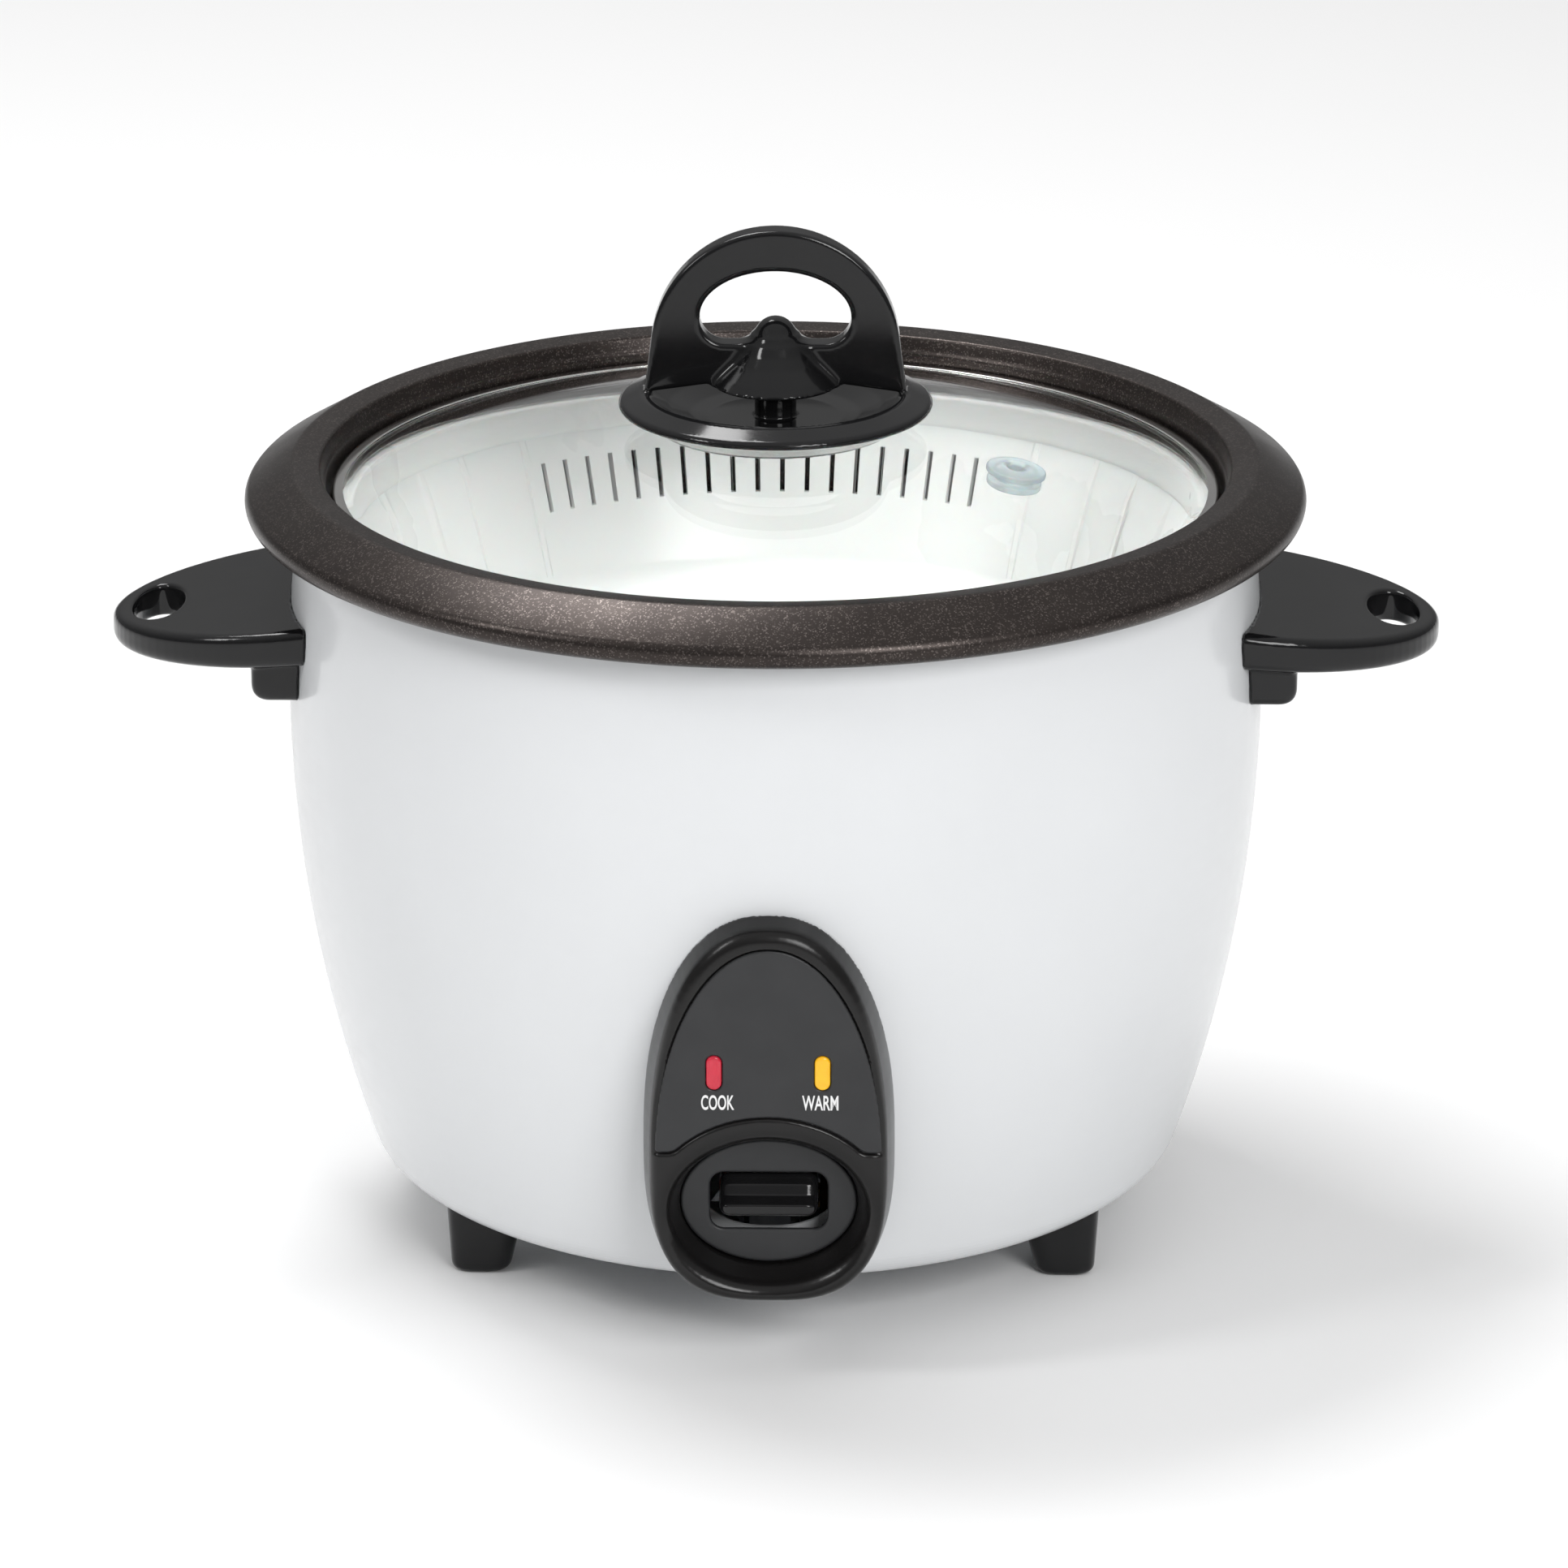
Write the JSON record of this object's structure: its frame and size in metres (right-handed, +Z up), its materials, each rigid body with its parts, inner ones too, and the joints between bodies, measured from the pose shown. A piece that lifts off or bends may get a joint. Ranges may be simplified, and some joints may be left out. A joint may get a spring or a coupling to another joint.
{
  "type": "rice cooker",
  "caption": "Drum rice cooker: white shell, wide-rimmed nonstick pot, steaming basket, domed glass lid with arch handle, black side handles and a front panel with one cook lever.",
  "frame": {"origin": "on the surface that the feet stand on, below the drum's axis", "axes": "+Z up along the drum's axis, +X to the right hand side handle, -Y towards the control panel"},
  "size_m": [0.333, 0.2648, 0.2583],
  "materials": {
    "white_enamel": "gloss",
    "bronze_nonstick": "satin metallic",
    "black_gloss": "gloss",
    "panel_black": "satin",
    "inlay_grey": "fine matte",
    "red_lens": "gloss",
    "amber_lens": "gloss",
    "lid_glass": "polished",
    "stainless": "bright",
    "clear_silicone": "soft gloss",
    "white_plastic": "soft gloss",
    "aluminium_sheet": "drawn",
    "cast_aluminium": "turned",
    "zinc_steel": "plated",
    "fastener_steel": "plated",
    "spring_steel": "drawn wire",
    "element_steel": "oxidised",
    "brass": "plain",
    "ferrite": "ground",
    "ceramic": "unglazed",
    "brown_phenolic": "moulded",
    "circuit_board": "laminate",
    "lamp_glass": "clear",
    "heater_band": "woven sleeve",
    "lead_insulation": "soft"
  },
  "bodies": {
    "housing": {"outer_shell": "white_enamel", "base_plate": "zinc_steel", "feet": "black_gloss", "foot_screws": "fastener_steel", "inner_liner": "aluminium_sheet", "left_handle": "black_gloss", "right_handle": "black_gloss", "handle_screws": "fastener_steel", "panel_bezel": "panel_black", "panel_faceplate": "inlay_grey", "panel_screws": "fastener_steel", "switch_plate": "inlay_grey", "cook_lens": "red_lens", "warm_lens": "amber_lens", "lamp_board": "circuit_board", "indicator_lamps": "lamp_glass", "heating_plate": "cast_aluminium", "heating_element": "element_steel", "plate_posts": "ceramic", "plate_screws": "fastener_steel", "sensor_housing": "zinc_steel", "sensor_spring": "spring_steel", "switch_bracket": "zinc_steel", "lever_pin": "fastener_steel", "contact_block": "brown_phenolic", "contact_leaves": "brass", "return_spring": "spring_steel", "warm_heater": "heater_band", "thermal_fuse": "brass", "fuse_clip": "zinc_steel", "inlet_housing": "panel_black", "inlet_pins": "brass", "inlet_screws": "fastener_steel", "wiring": "lead_insulation"},
    "cook_lever": {"switch_lever": "black_gloss", "lever_arm": "zinc_steel"},
    "magnet": {"sensor_magnet": "ferrite", "magnet_rod": "brass"},
    "sensor": {"sensor_cap": "cast_aluminium", "ferrite_disc": "ferrite"},
    "pot": {"cooking_pot": "bronze_nonstick"},
    "basket": {"steamer_basket": "white_plastic"},
    "lid": {"lid_glass": "lid_glass", "lid_ring": "stainless", "lid_handle": "black_gloss", "lid_screw": "fastener_steel", "lid_washer": "fastener_steel", "steam_vent": "clear_silicone"}
  },
  "joints": [
    {"name": "cook_lever_turn", "type": "hinge", "parent": "housing", "child": "cook_lever", "pos_m": [0, -0.062, 0.03275], "axis": [1, 0, 0], "range_deg": [0, 3.4], "stiffness_Nm_per_rad": 0.4, "springref_deg": -5.73},
    {"name": "magnet_lift", "type": "slide", "parent": "housing", "child": "magnet", "axis": [0, 0, 1], "range_m": [0, 0.0038], "deforming": ["return_spring"]},
    {"name": "sensor_press", "type": "slide", "parent": "housing", "child": "sensor", "axis": [0, 0, 1], "range_m": [-0.003, 0], "stiffness_N_per_m": 300, "springref_m": 0.004, "deforming": ["sensor_spring"]},
    {"name": "pot_lift", "type": "slide", "parent": "housing", "child": "pot", "axis": [0, 0, 1], "range_m": [0, 0.16]},
    {"name": "basket_lift", "type": "slide", "parent": "pot", "child": "basket", "axis": [0, 0, 1], "range_m": [0, 0.08]},
    {"name": "lid_lift", "type": "slide", "parent": "basket", "child": "lid", "axis": [0, 0, 1], "range_m": [0, 0.12]}
  ],
  "couplings": [
    {"joint": "magnet_lift", "follows": "cook_lever_turn", "m_per_rad": 0.0625}
  ]
}
